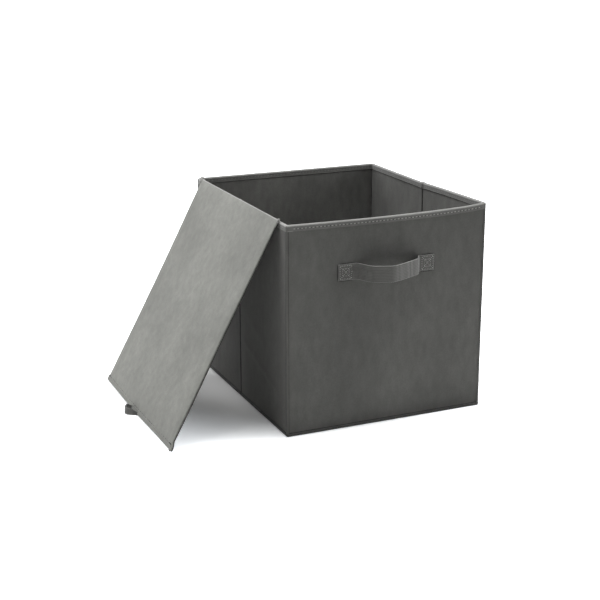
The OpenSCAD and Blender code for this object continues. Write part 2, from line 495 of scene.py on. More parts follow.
thread = dict(
    twist=(900.0, 1.5),
    fuzz=(260.0, 3.0, 0.6),
    tone=(0.75, 1.25),
    rough=(0.4, 0.65),
    bump=(0.5, 0.1 * mm),
)


# twisted polyester thread
def threadMaterial(name, colour):
    material, tree, shader = newMaterial(name)
    spot = objectSpot(tree)
    twist = bands(tree, spot, "DIAGONAL", *thread["twist"])
    fuzz = cloudNoise(tree, spot, *thread["fuzz"])
    tone = mapped(tree, product(tree, twist, fuzz), thread["tone"], (0.0, 0.6))
    dye(tree, shader, colour, tone, mapped(tree, fuzz, thread["rough"]), (*thread["bump"], twist))
    return material


# card with pressed fibres and flecks
def cardMaterial(name, colour):
    material, tree, shader = newMaterial(name)
    spot = objectSpot(tree)
    pulp = cloudNoise(tree, spot, 60.0, 6.0, 0.7)
    flecks = cells(tree, spot, 320.0, 1.0)
    tone = product(
        tree,
        mapped(tree, pulp, (0.85, 1.1), (0.3, 0.7)),
        mapped(tree, flecks, (0.7, 1.0), (0.05, 0.25)),
    )
    dye(tree, shader, colour, tone, mapped(tree, pulp, (0.8, 0.95)), (0.4, 0.1 * mm, pulp))
    return material


boardSlope = math.radians(61.8)
boardTurn = (0, boardSlope, 0)
cloths = dict(
    cloth=dict(name="outer cloth", colour=(0.066, 0.066, 0.0615)),
    lining=dict(name="lining cloth", colour=(0.092, 0.092, 0.086), gain=1.3),
    binding=dict(name="binding", colour=(0.084, 0.084, 0.078), gain=0.6, sheen=0.3),
    # lighter binding: some wear, and mostly a painted highlight where the rim's fold and edges catch the
    # light
    bindingWearAndHighlight=dict(name="binding with wear and painted highlight", colour=(0.15, 0.15, 0.142), gain=0.8, sheen=0.4),
    baseTape=dict(name="base tape", colour=(0.050, 0.050, 0.047), gain=0.6, sheen=0.05),
    # lighter webbing: painted highlight on the handles' edges and ends
    webbingHighlight=dict(name="webbing edge, painted highlight", colour=(0.115, 0.115, 0.108), gain=0.6, sheen=0.3),
    # painted soft shadow, under the binding's inner edge and at the welts' edges
    softShadow=dict(name="painted soft shadow beside seams", colour=(0.040, 0.040, 0.038), gain=0.6, sheen=0.0),
    # painted shadow, near black, for slits, notches, needle holes and seam gaps
    shadowCloth=dict(name="painted shadow in seams", colour=(0.010, 0.010, 0.0095), gain=0.6, sheen=0.0),
    # the board's cover is the same fabric as the walls' outer cloth, coloured about twice as light: painted
    # light for the key light on its upper face
    boardCloth=dict(
        name="board cloth", colour=(0.1435, 0.146, 0.1325), turn=boardTurn, stretch=(0.8, 1, 1), gain=1.2
    ),
    boardShade=dict(name="board cloth, painted shade by its seam", colour=(0.114, 0.116, 0.105), turn=boardTurn),
    # lighter board cloth: some wear, and mostly a painted highlight on the board's rolled upper end and
    # corner tucks
    boardEdgeHighlight=dict(name="board edge, painted highlight", colour=(0.175, 0.175, 0.166), turn=boardTurn, gain=0.8, sheen=0.3),
)
webbingColour = (0.070, 0.070, 0.065)
looks = {key: clothMaterial(**look) for key, look in cloths.items()}
looks["thread"] = threadMaterial("thread", (0.26, 0.26, 0.245))
looks["darkThread"] = threadMaterial("dark thread", (0.045, 0.045, 0.043))
looks["card"] = cardMaterial("card", (0.342, 0.242, 0.133))
seamLooks = ("shadowCloth", "bindingWearAndHighlight", "softShadow")
boardLooks = ("shadowCloth", "boardEdgeHighlight", "boardShade")
# a face's material index: the piece's own look is 0, and these follow; darkLook and softLook carry painted
# shadow and shade, lightLook mostly painted highlight
darkLook, lightLook, softLook = 1, 2, 3

ripple = dict(
    height=0.7 * mm,
    across=16.0,
    upward=4.5,
    fade=22 * mm,
    fineHeight=0.18 * mm,
    fineAcross=60.0,
    fineUpward=24.0,
    fineSeed=40,
    grid=4 * mm,
)
clothDepth = 0.75 * mm
sheets = [
    dict(kind="Cloth", node="_outer_cloth", look="cloth", slot="outer_cloth", reach=crease["clothReach"],
         depth=0, outward=-1, seed=(7.3, 0), swell=1.0),
    dict(kind="Lining", node="_lining", look="lining", slot="lining_cloth", reach=crease["liningReach"],
         depth=wallDepth, outward=1, seed=(5.1, 90), swell=0.8),
]
# how far a wrinkle runs past its ends and fades there, as shares of its length
wrinkleEnds = (0.15, 0.4)
# lines on the outer cloth, as (along, up) in the wall's frame
wrinkles = dict(
    leftFront=[
        dict(start=(10 * mm, 101 * mm), end=(150 * mm, 62 * mm), height=0.9 * mm, reach=5 * mm),
        dict(start=(20 * mm, 150 * mm), end=(110 * mm, 118 * mm), height=0.5 * mm, reach=7 * mm),
    ],
    front=[
        dict(start=(-130 * mm, 60 * mm), end=(-60 * mm, 120 * mm), height=0.45 * mm, reach=9 * mm),
        dict(start=(95 * mm, 80 * mm), end=(140 * mm, 150 * mm), height=0.45 * mm, reach=9 * mm),
    ],
)


# one sheet of cloth on a face of a wall, swelling softly between its edges
def wallSheet(start, end, low, high, sheet, seed):
    bm = bmesh.new()
    middle = Vector(((start + end) / 2, sheet["depth"], (low + high) / 2))
    steps = [max(2, round(size / ripple["grid"])) for size in (end - start, high - low)]
    upright = Matrix.Translation(middle) @ Matrix.Rotation(math.radians(90), 4, "X")
    grid(bm, (end - start, high - low), steps, upright)
    for vert in bm.verts:
        x, _, z = vert.co
        share = fadeIn(min(x - start, end - x), ripple["fade"])
        share *= fadeIn(min(z - low, high - z), ripple["fade"])
        swell = ripple["height"] * swellAt(x * ripple["across"], z * ripple["upward"], seed)
        fine = swellAt(x * ripple["fineAcross"], z * ripple["fineUpward"], seed + ripple["fineSeed"])
        vert.co.y += sheet["outward"] * sheet["swell"] * share * (swell + ripple["fineHeight"] * fine)
    thicken(bm, clothDepth, (0, sheet["outward"], 0))
    return bm


# raises one soft wrinkle along a line on a wall's outer cloth
def wrinkle(bm, start, end, height, reach):
    first = Vector((start[0], 0, start[1]))
    along = Vector((end[0], 0, end[1])) - first
    for vert in bm.verts:
        gap = Vector((vert.co.x, 0, vert.co.z)) - first
        share = gap.dot(along) / along.length_squared
        off = (gap - along * min(1.0, max(0.0, share))).length
        over, fade = wrinkleEnds
        ends = fadeIn(share + over, fade) * fadeIn(1 + over - share, fade)
        vert.co.y -= height * ends * bell(off, reach)


def dressWalls():
    for number, part in enumerate(wallParts):
        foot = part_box(part["nodes"] + "_outer_cloth")[0].z
        for sheet in sheets:
            start, end = stretchOf(part, sheet["reach"])
            bm = wallSheet(start, end, foot, wallTop, sheet, number * sheet["seed"][0] + sheet["seed"][1])
            if sheet["kind"] == "Cloth":
                for line in wrinkles.get(part["name"], ()):
                    wrinkle(bm, **line)
            settle(bm, part["wall"])
            stands = [part["nodes"] + sheet["node"]]
            addPiece(bm, part["name"] + sheet["kind"], sheet["look"], part["body"], stands)
    print("walls dressed")


sleeve = dict(reach=9 * mm, gap=0.05 * mm, face=0.4, turn=0.3, depth=0.02 * mm, steps=8)


# the cloth drawn tight round the ends of the cards, which shows where a corner folds
def makeSleeves():
    gap = sleeve["gap"]
    for part in wallParts:
        if part["wall"] not in ("front", "back"):
            continue
        matrix = wallPlace[part["wall"]]
        low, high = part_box(part["nodes"] + "_card")
        corners = [matrix.inverted() @ Vector((x, y, 0)) for x in (low.x, high.x) for y in (low.y, high.y)]
        ends = sorted(spot.x for spot in corners)
        faces = sorted(spot.y for spot in corners)
        outer, inner = faces[0] - sleeve["face"] * gap, faces[-1] + sleeve["face"] * gap
        bm = bmesh.new()
        for end, way in ((ends[0], -1), (ends[-1], 1)):
            near, turn = end - way * sleeve["reach"], end + way * sleeve["turn"] * gap
            tip = (end + way * gap, (outer + inner) / 2)
            line = [(near, outer), (turn, outer), tip, (turn, inner), (near, inner)]
            edge = bmesh.new()
            wire(edge, [(*spot, low.z) for spot in line])
            sweep(edge, (0, 0, high.z - low.z), sleeve["steps"])
            thicken(edge, sleeve["depth"], (way, 0, 0))
            mesh = meshOf(edge, "sleeve")
            bm.from_mesh(mesh)
            bpy.data.meshes.remove(mesh)
        place(bm, matrix)
        addPiece(bm, part["name"] + "Sleeves", "cloth", part["body"])
    print("card ends covered")


corner = dict(
    clothRound=1.8 * mm,
    segments=4,
    steps=20,
    liningDepth=0.6 * mm,
    liningNotch=[(-0.9, 0), (-0.2, -0.2), (1.0, -1.0), (0.2, 0.2), (0, 0.9)],
    notchMark=0.1 * mm,
    weltReach=3.2 * mm,
    weltRise=0.6 * mm,
    weltShadow=0.9 * mm,
    weltDepth=0.9 * mm,
    weltSteps=40,
)
welts = dict(
    frontRight="front_right_welt",
    backRight="back_right_welt",
    backLeft="back_left_welt",
    frontLeft="front_left_welt",
)


# a line round a corner at a depth from the outer face, in plan, in the frame of the wall before it; seam adds
# a point that far in from each end, where a welt's painted shadow starts
def cornerPath(half, depth, reach, roundness, seam=0.0):
    bm = bmesh.new()
    points = [(half - max(reach, depth), depth), (half - depth, depth), (half - depth, max(reach, depth))]
    if seam:
        points.insert(1, (half - reach + seam, depth))
        points.insert(3, (half - depth, reach - seam))
    bend = wire(bm, [(x, y, 0) for x, y in points])[len(points) // 2]
    bevel(bm, [bend], roundness, corner["segments"], "VERTICES")
    return bm


# cuts an open corner in two at its mitre
def splitCorner(bm, half):
    other = bm.copy()
    for mesh, side in ((bm, 1), (other, -1)):
        bmesh.ops.bisect_plane(
            mesh,
            geom=mesh.verts[:] + mesh.edges[:] + mesh.faces[:],
            plane_co=(half, 0, 0),
            plane_no=(side, side, 0),
            clear_outer=True,
        )
        bmesh.ops.holes_fill(mesh, edges=[edge for edge in mesh.edges if edge.is_boundary], sides=0)
    return bm, other


# puts a corner piece in place: whole where the corner is hinged, or cut in two at its mitre where the corner
# is open, each half on its own body
def finishCorner(bm, part, kind, look, depth, stands=()):
    half = halfLength[part["wall"]]
    matrix = wallPlace[part["wall"]]
    name = part["name"] + kind
    if not part["hinged"]:
        liftTop(bm, part["wall"])
        halves = splitCorner(bm, half)
        for mesh, body, end in zip(halves, (part["first"], part["second"]), ("Before", "After")):
            place(mesh, matrix)
            addPiece(mesh, name + end, look, body, stands, seamLooks)
        return
    place(bm, matrix)
    piece = addPiece(bm, name, look, stands=stands, more=seamLooks)
    end = matrix @ Vector((half - depth, pivotReach, 0))
    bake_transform(piece)


def makeCorners():
    away = (1, -1, 0)
    rise, reach, seam = corner["weltRise"], corner["weltReach"], corner["weltShadow"]
    for part in cornerParts:
        half = halfLength[part["wall"]]
        bm = cornerPath(half, 0, cornerReach, corner["clothRound"])
        erect(bm, sideFoot, wallTop, corner["steps"])
        thicken(bm, clothDepth, away)
        finishCorner(bm, part, "Cloth", "cloth", 0)

        bm = bmesh.new()
        inner = half - wallDepth
        notch = [(inner + x * mm, wallDepth + y * mm, 0) for x, y in corner["liningNotch"]]
        wire(bm, [(half - cornerReach, wallDepth, 0), *notch, (inner, cornerReach, 0)])
        erect(bm, sideFoot, wallTop, corner["steps"])
        thicken(bm, corner["liningDepth"], (-1, 1, 0))
        # the notch in the lining's inner corner gets painted shade
        mark = corner["notchMark"]
        markFaces(bm, lambda spot: spot.x > inner + mark and spot.y < wallDepth - mark, darkLook)
        finishCorner(bm, part, "Lining", "lining", wallDepth)

        welt = welts[part["name"]]
        low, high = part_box(welt)
        bm = cornerPath(half, -rise, reach, corner["clothRound"], seam)
        erect(bm, low.z, high.z, corner["weltSteps"])
        thicken(bm, corner["weltDepth"], away)
        # a hinged corner's welt gets painted soft shadow along both its edges
        if part["hinged"]:
            edge = half - reach + seam
            markFaces(bm, lambda spot: spot.x < edge or spot.y > half - edge, softLook)
        finishCorner(bm, part, "Welt", "cloth", -rise / 2, [welt])
    print("corners made")


post = dict(
    insets=(0.15 * mm, 0.45 * mm),
    turn=math.radians(75),
    start=math.radians(-45),
    steps=10,
    footGap=0.5 * mm,
    topGap=0.2 * mm,
    dome=[(0.7, 0.6), (0.0, 0.85), (-0.7, 0.6)],
)


# the cloth inside the open corner, which keeps it closed while the bin folds
def makeOpenCornerPosts():
    part = cornerParts[0]
    pivot = Vector((halfLength[part["wall"]] - pivotReach, pivotReach, 0))
    foot = frontBox[0].z + post["footGap"]
    shoulder = wallTop - post["topGap"]
    middle = pivotReach - wallDepth / 2
    for body, end, inset, turn in (
        (part["first"], "Before", post["insets"][0], post["turn"]),
        (part["second"], "After", post["insets"][1], -post["turn"]),
    ):
        bm = bmesh.new()
        radius = wallDepth / 2 - inset
        outer, inner = middle + radius, middle - radius
        dome = [(middle + across * radius, 0, wallTop + up * radius) for across, up in post["dome"]]
        rise = [(outer, 0, foot), (outer, 0, shoulder)]
        line = wire(bm, rise + dome + [(inner, 0, shoulder), (inner, 0, foot)])
        bm.edges.new((line[-1], line[0]))
        bmesh.ops.contextual_create(bm, geom=bm.edges[:])
        place(bm, Matrix.Translation(pivot) @ Matrix.Rotation(post["start"], 4, "Z"))
        bmesh.ops.spin(
            bm,
            geom=bm.verts[:] + bm.edges[:] + bm.faces[:],
            cent=pivot,
            axis=(0, 0, 1),
            angle=turn,
            steps=post["steps"],
            use_duplicate=False,
        )
        turnOut(bm)
        settle(bm, part["wall"])
        addPiece(bm, part["name"] + "Post" + end, "cloth", body)
    print("open corner closed from inside")


rim = dict(
    depth=0.75 * mm,
    leg=9.4 * mm,
    rise=0.8 * mm,
    innerGap=0.4 * mm,
    pucker=0.14 * mm,
    puckerReach=1.4 * mm,
    pitch=6 * mm,
    step=1.5 * mm,
    seamDrop=5.6 * mm,
    stitchLength=3.4 * mm,
    stitchRadius=0.5 * mm,
    stitchTilt=0.12,
    stitchSink=0.05 * mm,
    innerThread=0.7,
    holeLength=1.6 * mm,
    holeRadius=0.45 * mm,
    holeDrop=0.2 * mm,
    seamShadow=0.9 * mm,
    highlightTop=1.1 * mm,
    highlightFoot=1.0 * mm,
    wave=0.35 * mm,
    waveScale=35,
    fineScale=120,
    fineShare=0.4,
    footScale=60,
    endFade=8 * mm,
    cornerRound=2.2 * mm,
    cornerSegments=4,
    creaseSteps=24,
    creaseFade=2 * mm,
    creaseLight=(0.8 * mm, 2.8 * mm),
)
rimFoot = rimTop - rim["leg"]
rimSeam = rimTop - rim["seamDrop"]


# section of the binding: a leg down each face, a round fold over the top, and a strip under the inner leg
# that carries painted shadow
def rimProfile(bm, x):
    radius = wallDepth / 2 + rim["rise"]
    face = -rim["rise"]
    leg = [
        (face + 0.1 * mm, rimFoot),
        (face, rimFoot + 0.9 * mm),
        (face, rimSeam - 1.0 * mm),
        (face + rim["pucker"], rimSeam),
        (face, rimSeam + 1.0 * mm),
        (face, wallTop - 0.2 * mm),
    ]
    turns = [math.radians(turn) for turn in range(18, 180, 18)]
    fold = [(wallDepth / 2 - radius * math.cos(turn), wallTop + radius * math.sin(turn)) for turn in turns]
    back = [(wallDepth - y, z) for y, z in reversed(leg)]
    gap = wallDepth + rim["innerGap"]
    under = [(gap, rimFoot), (gap, rimFoot - rim["seamShadow"])]
    wire(bm, [(x, y, z) for y, z in leg + fold + back + under])


# paints soft shadow into the gap under the binding's inner edge, and paints highlights on its fold and on its
# inner lower edge
def markRim(bm):
    markFaces(bm, lambda spot: spot.z < rimFoot, softLook)
    # the fold over the top and the inner leg's lower edge get painted highlight
    markFaces(bm, lambda spot: spot.z > wallTop + rim["highlightTop"], lightLook)
    inner = wallDepth + 0.3 * mm
    markFaces(bm, lambda spot: spot.y > inner and rimFoot < spot.z < rimFoot + rim["highlightFoot"], lightLook)


# pulls the binding in at each stitch and lets its top and lower lines wander a little
def puckerRim(bm, seed, start, end):
    for vert in bm.verts:
        x, y, z = vert.co
        side = -1 if y < wallDepth / 2 else 1
        beat = beatAt(x, rim["pitch"])
        ends = fadeIn(min(x - start, end - x), rim["endFade"])
        vert.co.y -= side * ends * bell(z - rimSeam, rim["puckerReach"]) * rim["pucker"] * beat
        lift = noiseAt(x * rim["waveScale"], seed, side * 3.0)
        lift += rim["fineShare"] * noiseAt(x * rim["fineScale"], seed, 9.0)
        vert.co.z += ends * fadeIn(z - rimSeam, rimTop - rimSeam) * rim["wave"] * min(0.0, lift)
        low = fadeIn(rimSeam - z, rimSeam - rimFoot)
        vert.co.z += ends * low * rim["wave"] * noiseAt(x * rim["footScale"], seed + 5, side)


stitchSegments = (8, 5)


# one stitch: a short rounded run of thread that sinks into the cloth at its ends
def addStitch(bm, centre, along, length, radius, flat=0.6, normal=(0, -1, 0), look=0):
    along = Vector(along).normalized()
    normal = Vector(normal).normalized()
    side = along.cross(normal)
    axes = Matrix((along * length / 2, side * radius, normal * radius * flat)).transposed().to_4x4()
    made = bmesh.ops.create_uvsphere(
        bm,
        u_segments=stitchSegments[0],
        v_segments=stitchSegments[1],
        radius=1,
        matrix=Matrix.Translation(centre) @ axes @ Matrix.Rotation(math.radians(90), 4, "Y"),
    )
    for vert in made["verts"]:
        for face in vert.link_faces:
            face.material_index = look


def rimStitches(bm, start, end, seed):
    pitch = rim["pitch"]
    first = math.ceil(start / pitch - 0.5) + 0.5
    for number in range(int((end - start) / pitch) + 1):
        x = (first + number) * pitch
        if x + rim["stitchLength"] / 2 > end:
            break
        sink = rim["stitchSink"]
        for y, out in ((-rim["rise"] - sink, -1), (wallDepth + rim["rise"] - sink, 1)):
            along = (1, 0, rim["stitchTilt"] * noiseAt(x * 300, seed, out))
            seen = out < 0
            radius = rim["stitchRadius"] * (1 if seen else rim["innerThread"])
            # the inner row takes the lighter binding's colour, darker than the thread: painted shade on the
            # same thread inside the bin
            look = 0 if seen else lightLook
            addStitch(bm, (x, y, rimSeam), along, rim["stitchLength"], radius, normal=(0, out, 0), look=look)
            if seen:
                # a dark dot of painted shade at the needle hole between stitches
                hole = (x + pitch / 2, y + 0.1 * mm * out, rimSeam - rim["holeDrop"])
                normal = (0, out, 0)
                addStitch(bm, hole, (1, 0, 0), rim["holeLength"], rim["holeRadius"], 0.3, normal, darkLook)


# carries a section that stands at a corner's start round the corner, with a rounded fold
def turnCorner(bm, half, roundness):
    mitre, edges = extrude(bm, bm.edges[:])
    for vert in mitre:
        vert.co.x = half - vert.co.y
    for vert in extrude(bm, [edge for edge in edges if edge.is_boundary])[0]:
        vert.co.y = cornerReach
    fold = [edge for edge in bm.edges if all(vert in mitre for vert in edge.verts)]
    bevel(bm, fold, roundness, rim["cornerSegments"])


def makeRim():
    for number, part in enumerate(wallParts):
        start, end = stretchOf(part, crease["rimReach"])
        bm = runAlong(rimProfile, start, end, round((end - start) / rim["step"]))
        puckerRim(bm, number * 3.1, start, end)
        thicken(bm, rim["depth"], (0, 0, 1))
        markRim(bm)
        settle(bm, part["wall"])
        stands = [part["nodes"] + "_rim_binding"]
        addPiece(bm, part["name"] + "Rim", "binding", part["body"], stands, seamLooks)
        bm = bmesh.new()
        rimStitches(bm, start, end, number)
        settle(bm, part["wall"])
        addPiece(bm, part["name"] + "RimStitches", "thread", part["body"], more=seamLooks)
    for part in cornerParts:
        half = halfLength[part["wall"]]
        bm = bmesh.new()
        rimProfile(bm, half - cornerReach)
        turnCorner(bm, half, rim["cornerRound"])
        thicken(bm, rim["depth"], (0, 0, 1))
        markRim(bm)
        finishCorner(bm, part, "Rim", "binding", wallDepth / 2)
    print("rim bound and stitched")


tape = dict(
    rise=1.0 * mm,
    height=3.8 * mm,
    depth=0.5 * mm,
    shadowBand=0.9 * mm,
    shadowBandOut=0.12 * mm,
    step=4 * mm,
    wave=0.18 * mm,
    waveFade=0.5 * mm,
    waveScale=(90, 100),
    endFade=8 * mm,
    cornerRound=2.2 * mm,
    creaseSteps=10,
)


# section of the piped seam at the foot of a wall, open on the wall's side, with a thin strip above it that
# carries painted shadow
def tapeProfile(bm, x, foot):
    rise, height = tape["rise"], tape["height"]
    shadowBandTop = height + tape["shadowBand"]
    points = [
        (0.1 * mm, 0.05 * mm),
        (-0.6 * rise, 0.1 * mm),
        (-rise, 0.3 * height),
        (-rise, 0.65 * height),
        (-0.55 * rise, 0.95 * height),
        (-tape["shadowBandOut"], height),
        (-tape["shadowBandOut"], shadowBandTop),
        (0.1 * mm, shadowBandTop),
    ]
    wire(bm, [(x, y, foot + z) for y, z in points])


def closeTape(bm, foot, outward=(0, -1, 0)):
    thicken(bm, tape["depth"], outward)
    # the strip above the tape gets painted shadow
    markFaces(bm, lambda spot: spot.z > foot + tape["height"], darkLook)


def makeBaseTape():
    for number, part in enumerate(wallParts):
        node = part["nodes"] + "_base_tape"
        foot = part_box(node)[0].z
        start, end = stretchOf(part, crease["tapeReach"])
        bm = runAlong(tapeProfile, start, end, round((end - start) / tape["step"]), foot)
        for vert in bm.verts:
            ends = fadeIn(min(vert.co.x - start, end - vert.co.x), tape["endFade"])
            wander = noiseAt(vert.co.x * tape["waveScale"][0], number * 2.0, vert.co.z * tape["waveScale"][1])
            vert.co.y += ends * fadeIn(-vert.co.y, tape["waveFade"]) * tape["wave"] * wander
        closeTape(bm, foot)
        place(bm, wallPlace[part["wall"]])
        addPiece(bm, part["name"] + "BaseTape", "baseTape", part["body"], [node], seamLooks)
    for part in cornerParts:
        half = halfLength[part["wall"]]
        bm = bmesh.new()
        tapeProfile(bm, half - cornerReach, sideFoot)
        turnCorner(bm, half, tape["cornerRound"])
        closeTape(bm, sideFoot, (1, -1, 0))
        finishCorner(bm, part, "BaseTape", "baseTape", 0)
    print("base seam taped")


# a sheet along a crease from half of its section, which is mirrored
def creaseSheet(side, depth, thickness, outward):
    bm = bmesh.new()
    points = side + [(-x, y) for x, y in reversed(side[:-1])]
    wire(bm, [(x * mm, depth + y * mm, 0) for x, y in points])
    erect(bm, sideFoot, wallTop, crease["steps"])
    thicken(bm, thickness, outward)
    return bm


def makeCreases():
    for wall, first, second in (("left", "left_rear", "left_front"), ("right", "right_front", "right_rear")):

        def bind(bm, kind, look):
            place(bm, wallPlace[wall])
            piece = addPiece(bm, wall + kind, look, more=seamLooks)
            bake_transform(piece)

        bm = creaseSheet(crease["clothSide"], 0, crease["clothDepth"], (0, -1, 0))
        # the bottom of the outer cloth's crease gets painted shadow
        slit, deep = crease["clothSlit"]
        markFaces(bm, lambda spot: abs(spot.x) < slit and spot.y > deep, darkLook)
        bind(bm, "CreaseCloth", "cloth")

        bm = creaseSheet(crease["liningSide"], wallDepth, crease["liningDepth"], (0, 1, 0))
        # the bottom of the lining's crease gets painted shadow
        slit, deep = crease["liningSlit"]
        markFaces(bm, lambda spot: abs(spot.x) < slit and spot.y < wallDepth + deep, darkLook)
        bind(bm, "CreaseLining", "lining")

        reach = crease["rimReach"]
        bm = runAlong(rimProfile, -reach, reach, rim["creaseSteps"])
        pinchReach, pinchIn, pinchDown = crease["pinch"]
        middle, crumpleReach, crumpleHeight = crease["crumple"]
        for vert in bm.verts:
            x, y, z = vert.co
            pinch = bell(x, pinchReach)
            crumple = crumpleHeight * bell(abs(x) - middle, crumpleReach)
            side = -1 if y < wallDepth / 2 else 1
            vert.co.y += side * (crumple - pinchIn * pinch)
            vert.co.z += (crumple - pinchDown * pinch) * fadeIn(z - wallTop, rim["creaseFade"])
        thicken(bm, rim["depth"], (0, 0, 1))
        markRim(bm)
        # the crumpled binding beside the crease gets a painted highlight on its inner side
        near, far = rim["creaseLight"]
        markFaces(bm, lambda spot: spot.y > wallDepth and near < abs(spot.x) < far, lightLook)
        # the binding's slit at the crease gets painted shadow
        markFaces(bm, lambda spot: abs(spot.x) < crease["rimSlit"] and spot.z < wallTop, darkLook)
        bind(bm, "CreaseRim", "binding")

        reach = crease["tapeReach"]
        bm = runAlong(tapeProfile, -reach, reach, tape["creaseSteps"], sideFoot)
        pinchReach, pinchIn = crease["tapePinch"]
        for vert in bm.verts:
            vert.co.y += bell(vert.co.x, pinchReach) * pinchIn * fadeIn(-vert.co.y, tape["waveFade"])
        closeTape(bm, sideFoot)
        bind(bm, "CreaseTape", "baseTape")
    print("creases folded")


# the webbing's line runs from one sewn end up a rise and down a fall, as lengths and turns in degrees
handle = dict(
    width=25 * mm,
    depth=1.8 * mm,
    endLength=24 * mm,
    rise=[(9.5 * mm, 68), (14 * mm, 0), (14 * mm, -40), (22 * mm, -12), (9 * mm, -36)],
    fall=[(31 * mm, -8), (18 * mm, 0), (6 * mm, -34)],
    landRadius=3.5 * mm,
    step=0.25 * mm,
    steps=(160, 10),
    edgeCurl=0.25 * mm,
    curlWaves=40,
    foldPitch=12 * mm,
    foldSway=(1.2, 5 * mm),
    foldLean=1.5,
    foldHeight=0.2 * mm,
    foldFade=(6 * mm, 8 * mm),
    foldEnd=4 * mm,
    webbingHighlight=0.9 * mm,
    gap=0.05 * mm,
    blend=(-1.5 * mm, -13 * mm),
    patchShadow=1.1 * mm,
    patchShadowRise=0.9 * mm,
    knot=dict(inset=2 * mm, out=0.2 * mm, up=0.6 * mm, length=3 * mm, radius=0.7 * mm),
)
stitching = dict(
    length=1.9 * mm,
    pitch=2.8 * mm,
    radius=0.5 * mm,
    hole=0.6 * mm,
    holeLength=1.1 * mm,
    holeDrop=0.05 * mm,
    inset=2.6 * mm,
    innerBox=0.55,
    rise=0.1 * mm,
)


# points and headings along a line of arcs, which starts along x
def walkPath(runs):
    x = y = heading = 0.0
    trail = [(x, y, heading)]
    for length, turn in runs:
        count = max(1, round(length / handle["step"]))
        for _ in range(count):
            heading += turn / count / 2
            x += math.cos(heading) * length / count
            y += math.sin(heading) * length / count
            heading += turn / count / 2
            trail.append((x, y, heading))
    return trail


# place and heading at a share of the way along a path
def onPath(trail, share):
    at = share * (len(trail) - 1)
    low = min(int(at), len(trail) - 2)
    return [a + (b - a) * (at - low) for a, b in zip(trail[low], trail[low + 1])]


# a flat strip along x from 0, with its width along z and its own UV map
def flatStrip(length, width, depth, steps):
    bm = bmesh.new()
    bm.loops.layers.uv.new("along")
    grid(bm, (length, width), steps, Matrix.Rotation(math.radians(90), 4, "X"), calc_uvs=True)
    shift(bm, (length / 2, 0, 0))
    bmesh.ops.solidify(bm, geom=bm.faces[:], thickness=depth)
    turnOut(bm)
    sharp = math.radians(60)
    edges = [edge for edge in bm.edges if len(edge.link_faces) == 2 and edge.calc_face_angle() > sharp]
    bevel(bm, edges, 0.3 * depth, 2)
    return bm


def handleRuns():
    runs = [(handle["endLength"], 0)]
    runs += [(length, math.radians(turn)) for length, turn in handle["rise"] + handle["fall"]]
    slope = -sum(turn for _, turn in runs)
    drop = handle["landRadius"] * (1 - math.cos(slope))
    back = (walkPath(runs)[-1][1] - drop) / math.sin(slope)
    return runs + [(back, 0), (handle["landRadius"] * slope, slope), (handle["endLength"], 0)]


# corners of a sewn end, grown or shrunk by a margin, and the sides between them
def boxRound(centre, margin):
    halfL, halfW = handle["endLength"] / 2 + margin, handle["width"] / 2 + margin
    corners = [(-halfL, -halfW), (halfL, -halfW), (halfL, halfW), (-halfL, halfW)]
    return [centre + Vector((x, 0, z)) for x, z in corners]


def sidesOf(points):
    return zip(points, points[1:] + points[:1])


# a row of stitches on the face of the webbing, with the needle's holes between them as dots of painted shade
def stitchLine(bm, start, end):
    way = end - start
    count = max(2, round(way.length / stitching["pitch"]))
    for number in range(count):
        centre = start + way * ((number + 0.5) / count)
        addStitch(bm, centre, way, stitching["length"], stitching["radius"], flat=0.9)
        hole = start + way * (number / count) + Vector((0, stitching["holeDrop"], 0))
        addStitch(bm, hole, way, stitching["holeLength"], stitching["hole"], flat=0.3, look=darkLook)


# box, cross and inner box on a sewn end, and a line of painted shadow round it
def stitchEnd(bm, centre):
    points = boxRound(centre, -stitching["inset"])
    inner = [centre + (point - centre) * stitching["innerBox"] for point in points]
    for start, end in (*sidesOf(points), (points[0], points[2]), (points[1], points[3]), *sidesOf(inner)):
        stitchLine(bm, start, end)
    low = centre + Vector((0, handle["depth"] - handle["patchShadowRise"], 0))
    for start, end in sidesOf(boxRound(low, handle["patchShadow"] / 2)):
        way = end - start
        addStitch(bm, (start + end) / 2, way, way.length * 1.02, handle["patchShadow"] / 2, 0.2, look=darkLook)


# lays the strip along its line: its face is at y = 0 and its back at y = depth
def bendHandle(bm, runs, span):
    length = sum(run[0] for run in runs)
    bendAt = sum(run[0] for run in runs[: 1 + len(handle["rise"])])
    trail = walkPath(runs)
    reach = trail[-1][0]
    for vert in bm.verts:
        share = min(1.0, max(0.0, vert.co.x / length))
        x, y, heading = onPath(trail, share)
        depthAt = vert.co.y - handle["depth"] / 2
        over = vert.co.x - share * length
        vert.co.x = (x - reach / 2) * span / reach + over + depthAt * math.sin(heading)
        vert.co.y = -y + depthAt * math.cos(heading)
        edge = abs(vert.co.z) / (handle["width"] / 2)
        vert.co.y += handle["edgeCurl"] * edge**4 * (0.5 + 0.5 * math.sin(share * handle["curlWaves"]))
        past = share * length - bendAt
        left = length - handle["endLength"] - handle["foldEnd"] - share * length
        folded = fadeIn(past, handle["foldFade"][0]) * fadeIn(left, handle["foldFade"][1])
        sway, swayReach = handle["foldSway"]
        phase = 2 * math.pi * past / handle["foldPitch"] + sway * math.sin(past / swayReach)
        phase += handle["foldLean"] * vert.co.z / handle["width"]
        vert.co.y += handle["foldHeight"] * folded * math.sin(phase)


